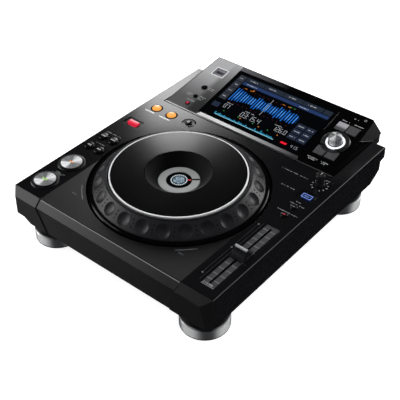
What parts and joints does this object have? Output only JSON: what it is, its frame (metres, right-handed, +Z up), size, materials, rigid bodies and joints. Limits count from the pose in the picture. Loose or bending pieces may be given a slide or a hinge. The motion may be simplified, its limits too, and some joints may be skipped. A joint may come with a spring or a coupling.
{
  "type": "tabletop dj media player",
  "caption": "Tabletop DJ player with a dimpled jog wheel, tilted touch display, play and cue buttons, small keys, a rotary selector, a tempo slider and round silver feet.",
  "frame": {"origin": "middle of the footprint on the table surface that the feet stand on", "axes": "+X to the user's right, +Y from the user towards the rear sockets, +Z up"},
  "size_m": [0.307, 0.38, 0.1028],
  "materials": {
    "case_black": "satin moulded ABS",
    "bevel_black": "satin moulded ABS",
    "cover_grey": "fine-grained moulded ABS",
    "panel_black": "polished ABS",
    "wheel_black": "polished ABS",
    "ring_grey": "soft-touch satin",
    "chassis_steel": "black powder coat",
    "foot_silver": "satin silver paint with a rubber sole",
    "screen_glass": "black-backed touch glass",
    "trim_silver": "brushed",
    "button_aluminium": "spun",
    "key_black": "polished",
    "key_grey": "satin",
    "key_orange": "translucent, lit from below",
    "key_red": "translucent, lit from below",
    "key_blue": "translucent edge, lit from below",
    "light_white": "polished",
    "knob_chrome": "bright knurled",
    "knob_black": "satin",
    "collar_grey": "satin",
    "board_green": "solder-masked glass epoxy",
    "board_brown": "phenolic board with parts",
    "shaft_steel": "ground",
    "spindle_metal": "turned",
    "socket_metal": "plated sheet",
    "jack_metal": "gold-plated",
    "fader_steel": "black plated",
    "inlet_black": "moulded"
  },
  "bodies": {
    "case": {"top_case": "case_black", "front_panel": "bevel_black", "front_left_corner": "bevel_black", "front_right_corner": "bevel_black", "display_rear_cover": "cover_grey", "rear_panel": "cover_grey", "display_fascia": "panel_black", "display_housing": "panel_black", "bottom_chassis": "chassis_steel", "foot_front_left": "foot_silver", "foot_front_right": "foot_silver", "foot_rear_left": "foot_silver", "foot_rear_right": "foot_silver", "touch_screen": "screen_glass", "jog_display_lens": "screen_glass", "display_trim_bar": "trim_silver", "selector_light_ring": "light_white", "jog_display_collar": "collar_grey", "main_board": "board_green", "key_boards": "board_green", "power_supply": "board_brown", "jog_bearings": "shaft_steel", "case_screws": "shaft_steel", "jog_base_plate": "shaft_steel", "jog_spindle": "spindle_metal", "data_sockets": "socket_metal", "usb_a_port": "socket_metal", "audio_jacks": "jack_metal", "fader_unit": "fader_steel", "ac_inlet": "inlet_black"},
    "jog_wheel": {"jog_hub": "wheel_black", "jog_ring": "ring_grey", "jog_trim_ring": "light_white", "jog_plate": "wheel_black", "encoder_disc": "shaft_steel"},
    "play_button": {"play_button": "button_aluminium"},
    "cue_button": {"cue_button": "button_aluminium"},
    "search_back_key": {"search_back_key": "key_black"},
    "search_forward_key": {"search_forward_key": "key_black"},
    "track_back_key": {"track_back_key": "key_black"},
    "track_forward_key": {"track_forward_key": "key_black"},
    "loop_in_key": {"loop_in_key": "key_orange"},
    "loop_out_key": {"loop_out_key": "key_orange"},
    "reloop_key": {"reloop_key": "key_black"},
    "jog_mode_key": {"jog_mode_key": "key_blue"},
    "tempo_range_key": {"tempo_range_key": "key_black"},
    "master_tempo_key": {"master_tempo_key": "key_red"},
    "usb_stop_key": {"usb_stop_key": "key_black"},
    "time_mode_key": {"time_mode_key": "key_black"},
    "quantize_key": {"quantize_key": "key_red"},
    "browse_key": {"browse_key": "key_grey"},
    "tag_key": {"tag_key": "key_grey"},
    "info_key": {"info_key": "key_grey"},
    "menu_key": {"menu_key": "key_grey"},
    "browse_shaft": {"browse_shaft": "shaft_steel"},
    "browse_knob": {"browse_knob": "knob_chrome"},
    "speed_knob": {"speed_knob": "knob_black"},
    "tempo_slider": {"tempo_slider": "knob_black"},
    "direction_lever": {"direction_lever": "key_red"},
    "power_button": {"power_button": "cover_grey"}
  },
  "joints": [
    {"name": "jog_wheel_spin", "type": "hinge", "parent": "case", "child": "jog_wheel", "pos_m": [0, -0.0555, 0.08], "axis": [0, 0, 1], "continuous": true},
    {"name": "play_button_press", "type": "slide", "parent": "case", "child": "play_button", "axis": [0, 0, -1], "range_m": [0, 0.0012], "stiffness_N_per_m": 1200, "springref_m": -0.0005},
    {"name": "cue_button_press", "type": "slide", "parent": "case", "child": "cue_button", "axis": [0, 0, -1], "range_m": [0, 0.0012], "stiffness_N_per_m": 1200, "springref_m": -0.0005},
    {"name": "search_back_key_press", "type": "slide", "parent": "case", "child": "search_back_key", "axis": [0, 0, -1], "range_m": [0, 0.0012], "stiffness_N_per_m": 800, "springref_m": -0.0005},
    {"name": "search_forward_key_press", "type": "slide", "parent": "case", "child": "search_forward_key", "axis": [0, 0, -1], "range_m": [0, 0.0012], "stiffness_N_per_m": 800, "springref_m": -0.0005},
    {"name": "track_back_key_press", "type": "slide", "parent": "case", "child": "track_back_key", "axis": [0, 0, -1], "range_m": [0, 0.0012], "stiffness_N_per_m": 800, "springref_m": -0.0005},
    {"name": "track_forward_key_press", "type": "slide", "parent": "case", "child": "track_forward_key", "axis": [0, 0, -1], "range_m": [0, 0.0012], "stiffness_N_per_m": 800, "springref_m": -0.0005},
    {"name": "loop_in_key_press", "type": "slide", "parent": "case", "child": "loop_in_key", "axis": [0, 0, -1], "range_m": [0, 0.0012], "stiffness_N_per_m": 800, "springref_m": -0.0005},
    {"name": "loop_out_key_press", "type": "slide", "parent": "case", "child": "loop_out_key", "axis": [0, 0, -1], "range_m": [0, 0.0012], "stiffness_N_per_m": 800, "springref_m": -0.0005},
    {"name": "reloop_key_press", "type": "slide", "parent": "case", "child": "reloop_key", "axis": [0, 0, -1], "range_m": [0, 0.0012], "stiffness_N_per_m": 800, "springref_m": -0.0005},
    {"name": "jog_mode_key_press", "type": "slide", "parent": "case", "child": "jog_mode_key", "axis": [0, 0, -1], "range_m": [0, 0.0012], "stiffness_N_per_m": 800, "springref_m": -0.0005},
    {"name": "tempo_range_key_press", "type": "slide", "parent": "case", "child": "tempo_range_key", "axis": [0, 0, -1], "range_m": [0, 0.0012], "stiffness_N_per_m": 800, "springref_m": -0.0005},
    {"name": "master_tempo_key_press", "type": "slide", "parent": "case", "child": "master_tempo_key", "axis": [0, 0, -1], "range_m": [0, 0.0012], "stiffness_N_per_m": 800, "springref_m": -0.0005},
    {"name": "usb_stop_key_press", "type": "slide", "parent": "case", "child": "usb_stop_key", "axis": [0, 0.2079, -0.9781], "range_m": [0, 0.0012], "stiffness_N_per_m": 800, "springref_m": -0.0005},
    {"name": "time_mode_key_press", "type": "slide", "parent": "case", "child": "time_mode_key", "axis": [0, 0.2079, -0.9781], "range_m": [0, 0.0012], "stiffness_N_per_m": 800, "springref_m": -0.0005},
    {"name": "quantize_key_press", "type": "slide", "parent": "case", "child": "quantize_key", "axis": [0, 0.2079, -0.9781], "range_m": [0, 0.0012], "stiffness_N_per_m": 800, "springref_m": -0.0005},
    {"name": "browse_key_press", "type": "slide", "parent": "case", "child": "browse_key", "axis": [0, 0.2079, -0.9781], "range_m": [0, 0.0012], "stiffness_N_per_m": 800, "springref_m": -0.0005},
    {"name": "tag_key_press", "type": "slide", "parent": "case", "child": "tag_key", "axis": [0, 0.2079, -0.9781], "range_m": [0, 0.0012], "stiffness_N_per_m": 800, "springref_m": -0.0005},
    {"name": "info_key_press", "type": "slide", "parent": "case", "child": "info_key", "axis": [0, 0.2079, -0.9781], "range_m": [0, 0.0012], "stiffness_N_per_m": 800, "springref_m": -0.0005},
    {"name": "menu_key_press", "type": "slide", "parent": "case", "child": "menu_key", "axis": [0, 0.2079, -0.9781], "range_m": [0, 0.0012], "stiffness_N_per_m": 800, "springref_m": -0.0005},
    {"name": "power_button_press", "type": "slide", "parent": "case", "child": "power_button", "axis": [0, -1, 0], "range_m": [0, 0.002], "stiffness_N_per_m": 900, "springref_m": -0.0005},
    {"name": "browse_shaft_press", "type": "slide", "parent": "case", "child": "browse_shaft", "axis": [0, 0.2079, -0.9781], "range_m": [0, 0.001], "stiffness_N_per_m": 1500, "springref_m": -0.0005},
    {"name": "browse_knob_turn", "type": "hinge", "parent": "browse_shaft", "child": "browse_knob", "pos_m": [0.1064, 0.12169, 0.0901], "axis": [0, -0.2079, 0.9781], "continuous": true},
    {"name": "speed_knob_turn", "type": "hinge", "parent": "case", "child": "speed_knob", "pos_m": [0.1325, 0.0483, 0.0795], "axis": [0, 0, 1], "range_deg": [-150, 150]},
    {"name": "tempo_slide", "type": "slide", "parent": "case", "child": "tempo_slider", "axis": [0, 1, 0], "range_m": [-0.05, 0.05]},
    {"name": "direction_lever_tilt", "type": "hinge", "parent": "case", "child": "direction_lever", "pos_m": [-0.131, 0.0046, 0.0675], "axis": [1, 0, 0], "range_deg": [-10, 10]}
  ]
}
